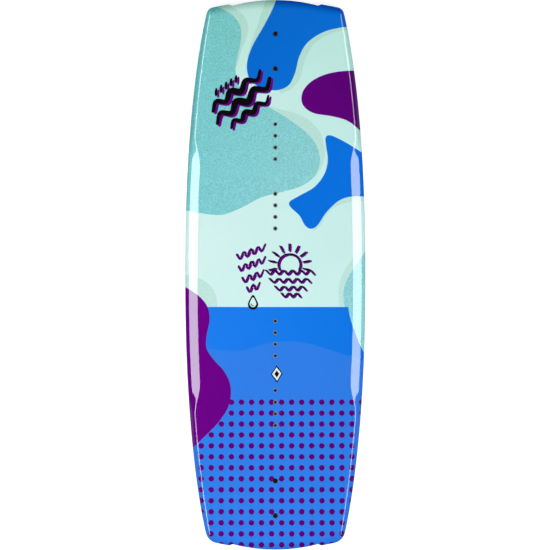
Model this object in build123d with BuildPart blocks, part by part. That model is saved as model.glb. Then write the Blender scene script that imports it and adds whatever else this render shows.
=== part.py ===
"""Twin-tip wakeboard: layered board, binding inserts, bolt-on centre fins and their hardware.

Frame: the board lies flat with its deck up. X is to the right, Y runs to the nose, Z is up.
The origin is under the middle of the board, on the floor that its flat middle stands on.
"""

from build123d import *
import math
import os

# ---- driving dimensions, millimetres and degrees ----

# outline
half_length = 600.0
middle_half_width = 198.0
width_loss = 50.0  # taken off each side at the tips
width_power = 2.35
nose_corner_radius = 18.0
tail_corner_radius = 30.0
tip_arc_half_width = 93.0  # the arched middle of each tip
tip_arc_drop = 11.4
tip_step_width = 8.0  # the small step outside the arched middle
tip_step_rise = 1.4
tip_outer_slope = 0.15
side_spans = 6  # spans of the curve along each quarter of the outline

# rocker of the base
flat_half_length = 180.0
ramp_start = 320.0
ramp_angle = 9.25

# thickness
middle_thickness = 22.0
tip_thickness = 15.0
taper_start = 140.0
taper_end = 430.0

# bevels along the deck and base edges
deck_bevel_drop = 8.0
middle_bevel_width = 28.5
end_bevel_width = 11.5
bevel_narrows_from = 235.0
bevel_narrows_to = 312.0
tip_bevel_width = 20.0
tip_knee_width = 8.0  # the outer, steeper part of the tip bevel
tip_knee_drop = 2.5  # of the bevel where that part starts
tip_bevel_radius = 594.0
base_bevel_rise = 3.0
base_bevel_width = 8.0

# hollow along the middle of the base, from near the fins out to each tip
channel_depth = 3.0
channel_start = 330.0
channel_full = 400.0

# layers, measured straight down or up
deck_sheet_thickness = 0.6
laminate_thickness = 0.7
base_sheet_thickness = 0.8
rail_width = 9.0

# binding inserts on the centre line, M6
insert_pitch = 25.4
inner_insert_places = [101.6 + insert_pitch * k for k in range(4)]
outer_insert_places = [254.0 + insert_pitch * k for k in range(4)]
insert_places = inner_insert_places + outer_insert_places
insert_radius = 6.0
insert_length = 12.0
insert_collar_radius = 4.7
insert_collar_height = 1.2
insert_sink = 1.2  # top of the collar below the deck
insert_bore_radius = 2.5
insert_bore_depth = 10.5
insert_mouth_radius = 4.8  # hole in the deck over each insert
plate_width = 56.0
plate_length = 290.0
plate_thickness = 8.0
plate_corner = 20.0

# centre fins, in the frame of the base ramp
fin_place = 488.5  # middle of the two screws, seen on the deck
screw_spacing = 76.2
fin_length = 122.0
fin_depth = 25.0
fin_blade_thickness = 7.0
fin_foot_width = 18.0
fin_foot_thickness = 4.0
fin_boss_radius = 7.0
fin_insert_radius = 4.5
fin_insert_length = 11.0
fin_insert_depth = 10.0
fin_boss_floor = 1.5  # of the boss, under its insert
fin_root_share = 0.94  # length of the blade at its root, as a share of the foot's
fin_keel_share = 0.6  # length of its straight keel, as a share of its root's
fin_shoulder = (0.86, 0.62)  # a point of its raked ends, as shares of its root and its depth
fin_rake = 0.1  # slope of its ends where they leave the foot
fit_gap = 0.05

# fin screws, M6 x 16 with a low head, their washers and sleeves
screw_radius = 3.0
screw_length = 16.0
screw_head_radius = 5.0
screw_head_height = 4.0
socket_across_flats = 4.0
socket_depth = 2.4
screw_edge = 0.6  # rounding of the head's rim, and chamfer of the tip
washer_radius = 5.5
washer_hole_radius = 3.2
washer_thickness = 1.6
washer_seat = 8.6  # above the base ramp
sleeve_cup_radius = 7.5
sleeve_floor = 1.6  # under the washer
sleeve_tube_radius = 5.0
sleeve_bore_radius = 3.25
sleeve_foot_gap = 0.2  # end of the sleeve above the face of the base sheet
recess_radius = 5.8  # hole in the deck over each screw head

# side fins, moulded on the base sheet
side_fin_offset = 128.0
side_fin_place = 452.0
side_fin_length = 92.0
side_fin_depth = 9.0
side_fin_thickness = 7.0
side_fin_shoulder = (0.65, 0.68)  # a point of its curve, as shares of its half length and its depth

# ---- working values ----

ramp = math.radians(ramp_angle)
rocker_radius = (ramp_start - flat_half_length) / math.sin(ramp)
ramp_foot = rocker_radius * (1 - math.cos(ramp))
ramp_rise = math.tan(ramp)
tip_overhang = 40.0  # how far the cutting shapes reach past the board
reach = half_length + tip_overhang
prism_height = 4 * tip_overhang  # from under the base to over both tips
block_half_width = middle_half_width + tip_overhang
wedge_stations = [0, 80, 160, 210, 235, 255, 275, 295, 315, 345, 395, 450, 520, 580, reach]
ends = (1, -1)


def half_width(y):
    """Half the width of the board at y."""
    return middle_half_width - width_loss * (abs(y) / half_length) ** width_power


def base_height(y):
    """Height of the base on the centre line, without the channel."""
    y = abs(y)
    if y <= flat_half_length:
        return 0.0
    if y <= ramp_start:
        along = y - flat_half_length
        return rocker_radius - math.sqrt(rocker_radius**2 - along**2)
    return ramp_foot + (y - ramp_start) * ramp_rise


taper_end_height = base_height(taper_end) + tip_thickness / math.cos(ramp)


def deck_height(y):
    """Height of the deck inside its bevels."""
    y = abs(y)
    if y <= taper_start:
        return middle_thickness
    if y >= taper_end:
        return taper_end_height + (y - taper_end) * ramp_rise
    span = taper_end - taper_start
    t = (y - taper_start) / span
    lift = taper_end_height - middle_thickness
    return middle_thickness + lift * t * t * (3 - 2 * t) + span * ramp_rise * t * t * (t - 1)


def deck_bevel_width(y):
    """Width of the bevel along the sides of the deck."""
    t = (bevel_narrows_to - abs(y)) / (bevel_narrows_to - bevel_narrows_from)
    t = min(max(t, 0.0), 1.0)
    return end_bevel_width + (middle_bevel_width - end_bevel_width) * t * t * (3 - 2 * t)


def constant_base_bevel(y):
    """Width of the bevel along the sides of the base."""
    return base_bevel_width


def ramp_frame(end, lift=0.0):
    """Plane on the base ramp under a centre fin, Z square to the ramp and Y towards the nose."""
    y = end * (fin_place + tip_thickness * math.sin(ramp))
    origin = Vector(0, y, base_height(y))
    normal = Vector(0, -end * math.sin(ramp), math.cos(ramp))
    return Plane(origin=origin + normal * lift, x_dir=(1, 0, 0), z_dir=normal)


def tip_frame(end, height):
    """Plane through the tip of the board, Z square to the ramp and Y towards the nose."""
    normal = Vector(0, -end * math.sin(ramp), math.cos(ramp))
    return Plane(origin=(0, end * half_length, height), x_dir=(1, 0, 0), z_dir=normal)


def lowered(part, amount):
    """The same solid, amount further down."""
    return part.moved(Location((0, 0, -amount)))


def fin_length_plane(end, shift=0.0):
    """Plane along a fin's length: its X runs outwards to the tip and its Y squarely away from the base."""
    frame = ramp_frame(end)
    return Plane(
        origin=frame.origin + frame.x_dir * shift, x_dir=frame.y_dir * end, z_dir=frame.x_dir * end
    )


def edge_wedge(side, width_of, height_of, drop):
    """Solid that pares the bevel off one long edge; a negative drop pares the underside."""
    up = tip_overhang if drop > 0 else -tip_overhang
    with BuildPart() as wedge:
        for y in [-station for station in reversed(wedge_stations[1:])] + wedge_stations:
            inner = half_width(y) - width_of(y)
            outer = half_width(y) + tip_overhang / 4
            fall = drop * (outer - inner) / width_of(y)
            z = height_of(y)
            with BuildSketch(Plane.XZ.offset(-y)):
                with BuildLine():
                    Polyline(
                        (side * inner, z),
                        (side * outer, z - fall),
                        (side * outer, z + up),
                        (side * inner, z + up),
                        close=True,
                    )
                make_face()
        loft()
    return wedge.part


def tip_wedge(end, height, width, drop, knee):
    """Solid that pares the bevel off one tip; a negative drop pares the underside.

    The knee is where the bevel steepens, as its distance in from the tip and its drop."""
    up = tip_overhang if drop > 0 else -tip_overhang
    frame = tip_frame(end, height)
    upright = Plane(origin=frame.origin, x_dir=frame.y_dir * end, z_dir=frame.x_dir * end)
    axis = Axis(frame.origin - frame.y_dir * end * tip_bevel_radius, frame.z_dir)
    outer = tip_overhang / 2
    slope = (drop - knee[1]) / knee[0]
    with BuildPart() as wedge:
        with BuildSketch(upright):
            with BuildLine():
                Polyline(
                    (-width, 0),
                    (-knee[0], -knee[1]),
                    (outer, -drop - slope * outer),
                    (outer, up),
                    (-width, up),
                    close=True,
                )
            make_face()
        revolve(axis=axis, revolution_arc=360)
    return wedge.part


def outer_corners(prism, end):
    """Upright edges at the two outer corners of one tip."""
    step_end = tip_arc_half_width + tip_step_width
    upright_edges = [e for e in prism.edges().filter_by(Axis.Z) if abs(e.center().X) > step_end]
    return [e for e in upright_edges if end * e.center().Y > half_length / 2]


def outline_prism(inset):
    """Upright prism on the board's outline; an inset outline leaves out the step in the tips."""
    with BuildPart() as prism:
        with BuildSketch(Plane.XY.offset(-tip_overhang)):
            with BuildLine():
                if inset:
                    top_y = half_length - tip_arc_drop - inset
                    corner = (half_width(top_y) - inset, top_y)
                    Line((0, top_y), corner)
                else:
                    arc_end = (tip_arc_half_width, half_length - tip_arc_drop)
                    RadiusArc(
                        (0, half_length),
                        arc_end,
                        (tip_arc_half_width**2 + tip_arc_drop**2) / (2 * tip_arc_drop),
                    )
                    step = (
                        tip_arc_half_width + tip_step_width,
                        half_length - tip_arc_drop + tip_step_rise,
                    )
                    Line(arc_end, step)
                    corner_y = step[1] - tip_outer_slope * (half_width(half_length) - step[0])
                    corner = (half_width(corner_y), corner_y)
                    Line(step, corner)
                stations = [corner[1] * k / side_spans for k in range(side_spans - 1, 0, -1)]
                side = [(half_width(y) - inset, y) for y in stations]
                Spline(corner, *side, (middle_half_width - inset, 0))
                mirror(about=Plane.YZ)
                mirror(about=Plane.XZ)
            make_face()
        extrude(amount=prism_height)
        for end, radius in ((1, nose_corner_radius), (-1, tail_corner_radius)):
            fillet(outer_corners(prism, end), radius - inset)
    return prism.part


# ---- cutting shapes shared by the layers ----

with BuildPart() as under_deck:
    with BuildSketch(Plane.YZ.offset(-block_half_width)):
        with BuildLine():
            third = (taper_end - taper_start) / 3
            Line((-taper_start, middle_thickness), (taper_start, middle_thickness))
            for end in ends:
                Bezier(
                    (end * taper_start, middle_thickness),
                    (end * (taper_start + third), middle_thickness),
                    (end * (taper_end - third), taper_end_height - third * ramp_rise),
                    (end * taper_end, taper_end_height),
                )
                Polyline(
                    (end * taper_end, taper_end_height),
                    (end * reach, deck_height(reach)),
                    (end * reach, -tip_overhang),
                )
            Line((-reach, -tip_overhang), (reach, -tip_overhang))
        make_face()
    extrude(amount=2 * block_half_width)
    for side in ends:
        add(edge_wedge(side, deck_bevel_width, deck_height, deck_bevel_drop), mode=Mode.SUBTRACT)
    for end in ends:
        knee = (tip_knee_width, tip_knee_drop)
        wedge = tip_wedge(end, deck_height(half_length), tip_bevel_width, deck_bevel_drop, knee)
        add(wedge, mode=Mode.SUBTRACT)


def channel(end):
    """Solid that hollows the middle of the base, sloping in near the fins and running out at the tip."""
    foot = ramp_frame(end)
    start = (channel_start - abs(foot.origin.Y)) / math.cos(ramp)
    full = (channel_full - abs(foot.origin.Y)) / math.cos(ramp)
    past_tip = half_length - fin_place + tip_overhang
    foot_half_width = tip_arc_half_width + tip_step_width
    with BuildPart() as hollow:
        with BuildSketch(fin_length_plane(end)):
            with BuildLine():
                Polyline(
                    (start, 0),
                    (full, channel_depth),
                    (past_tip, channel_depth),
                    (past_tip, -tip_overhang),
                    (start, -tip_overhang),
                    close=True,
                )
            make_face()
        extrude(amount=block_half_width, both=True)
        with BuildSketch(Plane(foot.origin, x_dir=foot.x_dir, z_dir=-foot.y_dir)):
            with BuildLine():
                Polyline(
                    (-tip_arc_half_width, channel_depth),
                    (tip_arc_half_width, channel_depth),
                    (foot_half_width, 0),
                    (foot_half_width, -tip_overhang),
                    (-foot_half_width, -tip_overhang),
                    (-foot_half_width, 0),
                    close=True,
                )
            make_face()
        extrude(amount=half_length / 2, both=True, mode=Mode.INTERSECT)
    return hollow.part


with BuildPart() as over_base:
    with BuildSketch(Plane.YZ.offset(-block_half_width)):
        with BuildLine():
            Line((-flat_half_length, 0), (flat_half_length, 0))
            for end in ends:
                middle_y = (flat_half_length + ramp_start) / 2
                ThreePointArc(
                    (end * flat_half_length, 0),
                    (end * middle_y, base_height(middle_y)),
                    (end * ramp_start, ramp_foot),
                )
                Polyline(
                    (end * ramp_start, ramp_foot),
                    (end * reach, base_height(reach)),
                    (end * reach, base_height(reach) + 2 * tip_overhang),
                )
            top = base_height(reach) + 2 * tip_overhang
            Line((-reach, top), (reach, top))
        make_face()
    extrude(amount=2 * block_half_width)
    for side in ends:
        add(edge_wedge(side, constant_base_bevel, base_height, -base_bevel_rise), mode=Mode.SUBTRACT)
    for end in ends:
        halfway = (base_bevel_width / 2, -base_bevel_rise / 2)
        wedge = tip_wedge(end, base_height(half_length), base_bevel_width, -base_bevel_rise, halfway)
        add(wedge, mode=Mode.SUBTRACT)
        add(channel(end), mode=Mode.SUBTRACT)


deck_cut = deck_sheet_thickness  # how far each layer's top lies below the deck
laminate_cut = deck_sheet_thickness + laminate_thickness
base_cut = base_sheet_thickness
base_laminate_cut = base_sheet_thickness + laminate_thickness
outline = outline_prism(0)
core_outline = outline_prism(rail_width)


def layer(plan, top_cut, bottom_cut):
    """Slice of the board between two depths: below the deck and above the base."""
    with BuildPart() as slice_:
        add(plan)
        add(lowered(under_deck.part, top_cut), mode=Mode.INTERSECT)
        add(lowered(over_base.part, -bottom_cut), mode=Mode.INTERSECT)
    return slice_.part


def upright_cylinders(places, radius, top_of, length):
    """Upright cylinders on the centre line; top_of gives each one's top."""
    with BuildPart() as cylinders:
        for y in places:
            with BuildSketch(Plane.XY.offset(top_of(y))):
                with Locations((0, y)):
                    Circle(radius)
            extrude(amount=-length)
    return cylinders.part


def fin_cylinders(end, radius, bottom, top):
    """Cylinders on a fin's two screw lines, between two heights above the base ramp."""
    with BuildPart() as cylinders:
        with BuildSketch(ramp_frame(end, bottom)):
            with GridLocations(0, screw_spacing, 1, 2):
                Circle(radius)
        extrude(amount=top - bottom)
    return cylinders.part


def plate_blank(end):
    """Upright prism on the outline of an insert retention plate."""
    middle = (insert_places[0] + insert_places[-1]) / 2
    with BuildPart() as blank:
        with BuildSketch(Plane.XY):
            with Locations((0, end * middle)):
                RectangleRounded(plate_width, plate_length, plate_corner)
        extrude(amount=2 * tip_overhang)
    return blank.part


def insert_top(y):
    """Height of the top of a binding insert's collar."""
    return deck_height(y) - insert_sink


def insert_shoulder(y):
    """Height of the top of a binding insert's body, under its collar."""
    return insert_top(y) - insert_collar_height


def above_deck(y):
    """A height clear of the deck."""
    return deck_height(y) + tip_overhang / 2


def signed(end, places):
    """The same places on the nose half or the tail half."""
    return [end * place for place in places]


all_insert_places = signed(1, insert_places) + signed(-1, insert_places)
above = 2 * tip_thickness  # a height over the ramp, clear of the deck

# ---- deck sheet and the laminate under it, holed over every insert and fin screw ----

with BuildPart() as deck_holes:
    add(upright_cylinders(all_insert_places, insert_mouth_radius, above_deck, 2 * tip_overhang))
    for end in ends:
        add(fin_cylinders(end, recess_radius, washer_seat, above))

with BuildPart() as deck_sheet:
    add(layer(outline, 0, base_laminate_cut))
    add(lowered(under_deck.part, deck_cut), mode=Mode.SUBTRACT)
    add(deck_holes.part, mode=Mode.SUBTRACT)
deck_sheet.part.label = "deck_sheet"

with BuildPart() as deck_laminate:
    add(layer(outline, deck_cut, base_laminate_cut))
    add(lowered(under_deck.part, laminate_cut), mode=Mode.SUBTRACT)
    add(deck_holes.part, mode=Mode.SUBTRACT)
deck_laminate.part.label = "deck_laminate"

# ---- rail round the core ----

with BuildPart() as perimeter_rail:
    add(layer(outline, laminate_cut, base_laminate_cut))
    add(core_outline, mode=Mode.SUBTRACT)
perimeter_rail.part.label = "perimeter_rail"

# ---- retention plates under the deck laminate, and the inserts in them ----


def insert_pockets(end):
    """Upright solids that clear eight inserts and open out through the deck."""
    places = signed(end, insert_places)
    body_length = insert_length - insert_collar_height
    past_shoulder = tip_overhang / 2 + insert_sink + 2 * insert_collar_height
    with BuildPart() as pockets:
        add(upright_cylinders(places, insert_radius, insert_shoulder, body_length))
        add(upright_cylinders(places, insert_mouth_radius, above_deck, past_shoulder))
    return pockets.part


def plate_slab(end):
    """Retention plate before it is holed: a slab that follows the deck."""
    with BuildPart() as slab:
        add(plate_blank(end))
        add(lowered(under_deck.part, laminate_cut), mode=Mode.INTERSECT)
        add(lowered(under_deck.part, laminate_cut + plate_thickness), mode=Mode.SUBTRACT)
    return slab.part


def insert_plate(end):
    """Retention plate, holed for its eight inserts."""
    with BuildPart() as plate:
        add(plate_slab(end))
        add(insert_pockets(end), mode=Mode.SUBTRACT)
    return plate.part


def binding_inserts(end):
    """Eight blind threaded inserts, their threads left as plain bores."""
    places = signed(end, insert_places)
    body_length = insert_length - insert_collar_height
    with BuildPart() as inserts:
        add(upright_cylinders(places, insert_radius, insert_shoulder, body_length))
        add(upright_cylinders(places, insert_collar_radius, insert_top, insert_collar_height))
        add(
            upright_cylinders(places, insert_bore_radius, insert_top, insert_bore_depth),
            mode=Mode.SUBTRACT,
        )
    return inserts.part


# ---- centre fins and their hardware ----

sleeve_top = tip_thickness - laminate_cut * math.cos(ramp)  # the underside of the deck laminate
sleeve_foot = channel_depth + sleeve_foot_gap
under_head = washer_seat + washer_thickness
fin_top = channel_depth - fit_gap


def fin_sleeves(end):
    """Two cupped sleeves: the washer seats in the cup, and the tube runs down to the fin."""
    with BuildPart() as sleeves:
        add(sleeve_blanks(end))
        add(fin_cylinders(end, recess_radius, washer_seat, sleeve_top), mode=Mode.SUBTRACT)
        add(fin_cylinders(end, sleeve_bore_radius, sleeve_foot, washer_seat), mode=Mode.SUBTRACT)
    return sleeves.part


def sleeve_blanks(end):
    """The outsides of the two sleeves, as solid pieces."""
    cup_foot = washer_seat - sleeve_floor
    with BuildPart() as blanks:
        add(fin_cylinders(end, sleeve_cup_radius, cup_foot, sleeve_top))
        add(fin_cylinders(end, sleeve_tube_radius, sleeve_foot, cup_foot))
    return blanks.part


def centre_fin(end):
    """Fin with a flat foot, a blade with sloping ends and two bosses that hold the inserts."""
    blade_top = fin_top - fin_foot_thickness
    keel = fin_top - fin_depth
    insert_foot = fin_top - fin_insert_length
    with BuildPart() as fin:
        with BuildSketch(ramp_frame(end, blade_top)):
            SlotOverall(fin_length, fin_foot_width, rotation=90)
        extrude(amount=fin_foot_thickness)
        with BuildSketch(fin_length_plane(end)):
            with BuildLine():
                root = fin_root_share * fin_length / 2
                keel_end = fin_keel_share * root
                Line((-root, blade_top), (root, blade_top))
                for way in ends:
                    Spline(
                        (way * root, blade_top),
                        (way * fin_shoulder[0] * root, fin_shoulder[1] * keel),
                        (way * keel_end, keel),
                        tangents=((-way * fin_rake, -1), (-way, 0)),
                    )
                Line((-keel_end, keel), (keel_end, keel))
            make_face()
        extrude(amount=fin_blade_thickness / 2, both=True)
        add(fin_cylinders(end, fin_boss_radius, insert_foot - fin_boss_floor, blade_top))
        add(fin_cylinders(end, fin_insert_radius, insert_foot, fin_top), mode=Mode.SUBTRACT)
    return fin.part


def fin_inserts(end):
    """Two blind threaded inserts in a fin, their threads left as plain bores."""
    with BuildPart() as inserts:
        add(fin_cylinders(end, fin_insert_radius, fin_top - fin_insert_length, fin_top))
        add(
            fin_cylinders(end, screw_radius + fit_gap, fin_top - fin_insert_depth, fin_top),
            mode=Mode.SUBTRACT,
        )
    return inserts.part


def screw_plane(end, outward, height):
    """Plane square to one fin screw; outward is 1 for the screw nearer the tip and -1 for the other."""
    frame = ramp_frame(end, height)
    return Plane(
        origin=frame.origin + frame.y_dir * (end * outward * screw_spacing / 2),
        x_dir=frame.x_dir,
        z_dir=frame.z_dir,
    )


def fin_screw(end, outward):
    """Low-head socket screw, its thread left as a plain shank."""
    with BuildPart() as screw:
        with BuildSketch(screw_plane(end, outward, under_head)):
            Circle(screw_head_radius)
        extrude(amount=screw_head_height)
        rim = screw.edges().filter_by(GeomType.CIRCLE).sort_by(Axis.Z)[-1:]
        fillet(rim, screw_edge)
        with BuildSketch(screw_plane(end, outward, under_head)):
            Circle(screw_radius)
        extrude(amount=-screw_length)
        tip_edge = screw.edges().filter_by(GeomType.CIRCLE).sort_by(Axis.Z)[:1]
        chamfer(tip_edge, screw_edge)
        with BuildSketch(screw_plane(end, outward, under_head + screw_head_height)):
            RegularPolygon(socket_across_flats / 2, 6, major_radius=False)
        extrude(amount=-socket_depth, mode=Mode.SUBTRACT)
    return screw.part


def fin_washers(end):
    """Two small-series flat washers, seated in the sleeves' cups."""
    with BuildPart() as washers:
        add(fin_cylinders(end, washer_radius, washer_seat, under_head))
        add(fin_cylinders(end, washer_hole_radius, washer_seat, under_head), mode=Mode.SUBTRACT)
    return washers.part


# ---- base sheet with its side fins, and the laminate over it ----


def side_fin(end, side):
    """Low ridge along the base, its ends running out to the base."""
    with BuildPart() as ridge:
        middle = (side_fin_place - fin_place) / math.cos(ramp)
        with BuildSketch(fin_length_plane(end, side * side_fin_offset)):
            with BuildLine():
                half = side_fin_length / 2
                out, down = side_fin_shoulder[0] * half, side_fin_shoulder[1] * side_fin_depth
                root = base_sheet_thickness / 2
                Line((middle - half, root), (middle + half, root))
                Spline(
                    (middle - half, root),
                    (middle - out, -down),
                    (middle, -side_fin_depth),
                    (middle + out, -down),
                    (middle + half, root),
                )
            make_face()
        extrude(amount=side_fin_thickness / 2, both=True)
        keel_edges = ridge.edges().filter_by(GeomType.BSPLINE)
        chamfer(keel_edges, side_fin_thickness / 4)
    return ridge.part


with BuildPart() as base_sheet:
    add(layer(outline, laminate_cut, 0))
    add(lowered(over_base.part, -base_cut), mode=Mode.SUBTRACT)
    for end in ends:
        add(fin_cylinders(end, sleeve_tube_radius, 0, washer_seat), mode=Mode.SUBTRACT)
        for side in ends:
            add(side_fin(end, side))
base_sheet.part.label = "base_sheet"

with BuildPart() as base_laminate:
    add(layer(outline, laminate_cut, base_cut))
    add(lowered(over_base.part, -base_laminate_cut), mode=Mode.SUBTRACT)
    for end in ends:
        add(fin_cylinders(end, sleeve_tube_radius, 0, washer_seat), mode=Mode.SUBTRACT)
base_laminate.part.label = "base_laminate"

# ---- foam core, pocketed for the plates, the inserts and the sleeves ----

with BuildPart() as foam_core:
    add(layer(core_outline, laminate_cut, base_laminate_cut))
    for end in ends:
        add(plate_slab(end), mode=Mode.SUBTRACT)
        add(insert_pockets(end), mode=Mode.SUBTRACT)
        add(sleeve_blanks(end), mode=Mode.SUBTRACT)
foam_core.part.label = "foam_core"

# ---- labels and files ----

pieces = [deck_sheet.part, deck_laminate.part, perimeter_rail.part, base_sheet.part]
pieces += [base_laminate.part, foam_core.part]

for end, end_name in ((1, "nose"), (-1, "tail")):
    for maker, name in (
        (insert_plate, "insert_plate"),
        (binding_inserts, "binding_inserts"),
        (fin_sleeves, "fin_sleeves"),
        (fin_washers, "fin_washers"),
        (centre_fin, "fin"),
        (fin_inserts, "fin_inserts"),
    ):
        piece = maker(end)
        piece.label = name + "_" + end_name
        pieces.append(piece)
    for outward, place_name in ((1, "outer"), (-1, "inner")):
        piece = fin_screw(end, outward)
        piece.label = "fin_screw_" + end_name + "_" + place_name
        pieces.append(piece)

os.makedirs("parts", exist_ok=True)
for piece in pieces:
    export_step(piece, "parts/" + piece.label + ".step")
    print(piece.label, len(piece.solids()), round(piece.volume / 1000, 2), "cm3")
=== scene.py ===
"""Wakeboard: the visual model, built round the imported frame.

The board's drawing is in millimetres, in the row frame: X to the right, Y to the nose, Z up.
Meshes are written in metres.
"""

import math

import bpy
import numpy as np
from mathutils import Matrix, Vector
from mathutils.geometry import delaunay_2d_cdt
from mathutils.kdtree import KDTree


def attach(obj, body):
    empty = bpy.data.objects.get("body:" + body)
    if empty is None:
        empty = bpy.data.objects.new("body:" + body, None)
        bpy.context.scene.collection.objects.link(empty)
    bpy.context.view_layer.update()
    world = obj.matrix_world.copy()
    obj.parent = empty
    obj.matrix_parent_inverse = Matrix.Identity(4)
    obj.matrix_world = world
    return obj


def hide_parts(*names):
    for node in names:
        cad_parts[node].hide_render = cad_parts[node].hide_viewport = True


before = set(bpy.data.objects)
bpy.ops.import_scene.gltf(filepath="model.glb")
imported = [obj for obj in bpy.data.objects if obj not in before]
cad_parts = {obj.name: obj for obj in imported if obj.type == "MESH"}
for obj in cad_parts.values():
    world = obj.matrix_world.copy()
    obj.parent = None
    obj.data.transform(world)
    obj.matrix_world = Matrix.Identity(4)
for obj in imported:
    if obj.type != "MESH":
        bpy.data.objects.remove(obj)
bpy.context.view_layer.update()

MM = 0.001

# ---- the board's driving dimensions, as in the CAD model ----

half_length = 600.0
middle_half_width = 198.0
width_loss = 50.0
width_power = 2.35
nose_corner_radius = 18.0
tail_corner_radius = 30.0
tip_arc_half_width = 93.0
tip_step_width = 8.0
flat_half_length = 180.0
ramp_start = 320.0
ramp = math.radians(9.25)
middle_thickness = 22.0
tip_thickness = 15.0
taper_start = 140.0
taper_end = 430.0
deck_bevel_drop = 8.0
middle_bevel_width = 28.5
end_bevel_width = 11.5
bevel_narrows_from = 235.0
bevel_narrows_to = 312.0
tip_bevel_width = 20.0
tip_knee_width = 8.0
tip_knee_drop = 2.5
tip_bevel_radius = 594.0
base_bevel_rise = 3.0
base_bevel_width = 8.0
channel_depth = 3.0
channel_start = 330.0
channel_full = 400.0
deck_sheet_thickness = 0.6
laminate_thickness = 0.7
base_sheet_thickness = 0.8
rail_width = 9.0
core_tip_drop = 11.4  # tip_arc_drop in the CAD model
insert_places = [101.6 + 25.4 * k for k in range(4)] + [254.0 + 25.4 * k for k in range(4)]
insert_sink = 1.2
fin_place = 488.5
screw_spacing = 76.2

# the outline's tips and the softness of the bevels, where this model goes beyond the CAD model

tip_narrowing = 5.6  # how much narrower than the bevels' own line the outline is at the tips
tip_narrowing_power = 10.0
tip_arc_drop = 12.0
tip_step_rise = 2.9
tip_outer_slope = 0.19
crease_softness = 1.4  # how far from its line the crease of the deck bevel is rounded, in the middle
crease_softness_growth = 0.87  # power by which it grows as the bevel narrows
bevel_crown = 0.24  # how much the deck bevel steepens outwards
knee_softness = 4.0
mitre_softness = 1.5
edge_round_reach = 9.0  # the rail's rounding starts this far in from the edge
deck_edge_share = 0.38  # how much of the rail's height the rounding takes from the deck
base_edge_share = 0.24

rocker_radius = (ramp_start - flat_half_length) / math.sin(ramp)
ramp_foot = rocker_radius * (1 - math.cos(ramp))
ramp_rise = math.tan(ramp)
ends = (1, -1)


# ---- shape of the board, as functions of x and y ----


def half_width(y):
    """Half the width of the board at y."""
    return middle_half_width - width_loss * (np.abs(y) / half_length) ** width_power


def outline_half_width(y):
    """Half the width of the trimmed outline at y."""
    return half_width(y) - tip_narrowing * (np.abs(y) / half_length) ** tip_narrowing_power


def base_line(y):
    """Height of the base on the centre line, without the channel."""
    y = np.abs(y)
    arc = np.clip(y - flat_half_length, 0, ramp_start - flat_half_length)
    on_arc = rocker_radius - np.sqrt(rocker_radius**2 - arc**2)
    return np.where(y > ramp_start, ramp_foot + (y - ramp_start) * ramp_rise, on_arc)


taper_end_height = float(base_line(taper_end)) + tip_thickness / math.cos(ramp)


def deck_line(y):
    """Height of the deck inside its bevels."""
    y = np.abs(y)
    span = taper_end - taper_start
    t = np.clip((y - taper_start) / span, 0, 1)
    lift = taper_end_height - middle_thickness
    curve = middle_thickness + lift * t * t * (3 - 2 * t) + span * ramp_rise * t * t * (t - 1)
    return np.where(y > taper_end, taper_end_height + (y - taper_end) * ramp_rise, curve)


def bevel_width(y):
    """Width of the bevel along the sides of the deck."""
    t = np.clip((bevel_narrows_to - np.abs(y)) / (bevel_narrows_to - bevel_narrows_from), 0, 1)
    return end_bevel_width + (middle_bevel_width - end_bevel_width) * t * t * (3 - 2 * t)


def crease_spread(y):
    """How many times softer the crease is at y than in the middle."""
    return (middle_bevel_width / bevel_width(y)) ** crease_softness_growth


def in_from_tip(x, y):
    """Distance in from the round line that the tip bevels follow."""
    along = (np.abs(y) - half_length) / math.cos(ramp)
    return tip_bevel_radius - np.hypot(x, tip_bevel_radius + along)


def softened(t, softness):
    """t where it is positive and 0 where it is negative, with the corner rounded."""
    return (t + np.sqrt(t * t + softness * softness)) / 2


tip_slope = tip_knee_drop / (tip_bevel_width - tip_knee_width)
knee_slope = (deck_bevel_drop - tip_knee_drop) / tip_knee_width


def deck_before_rounding(x, y):
    """Height of the deck with its bevels, before the rail is rounded."""
    width = bevel_width(y)
    side = 1 - (half_width(y) - np.abs(x)) / width
    side = softened(side, crease_softness * crease_spread(y) / width)
    side_drop = deck_bevel_drop * (side + bevel_crown * side**2) / (1 + bevel_crown)
    from_tip = in_from_tip(x, y)
    tip_drop = tip_slope * softened(tip_bevel_width - from_tip, crease_softness)
    tip_drop += (knee_slope - tip_slope) * softened(tip_knee_width - from_tip, knee_softness)
    both = side_drop * tip_drop
    rounding = mitre_softness**2 * both / (1 + both)
    larger = (side_drop + tip_drop + np.sqrt((side_drop - tip_drop) ** 2 + rounding)) / 2
    return deck_line(y) - larger + np.sqrt(rounding) / 2


def base_before_rounding(x, y):
    """Height of the base with its channel and bevels, before the rail is rounded."""
    into = np.clip((np.abs(y) - channel_start) / (channel_full - channel_start), 0, 1)
    across = np.clip((tip_arc_half_width + tip_step_width - np.abs(x)) / tip_step_width, 0, 1)
    hollow = channel_depth / math.cos(ramp) * into * across
    side = base_bevel_rise * (1 - (half_width(y) - np.abs(x)) / base_bevel_width)
    tip = base_bevel_rise * (1 - in_from_tip(x, y) / base_bevel_width)
    return base_line(y) + np.maximum(np.maximum(hollow, side), np.maximum(tip, 0))


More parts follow.
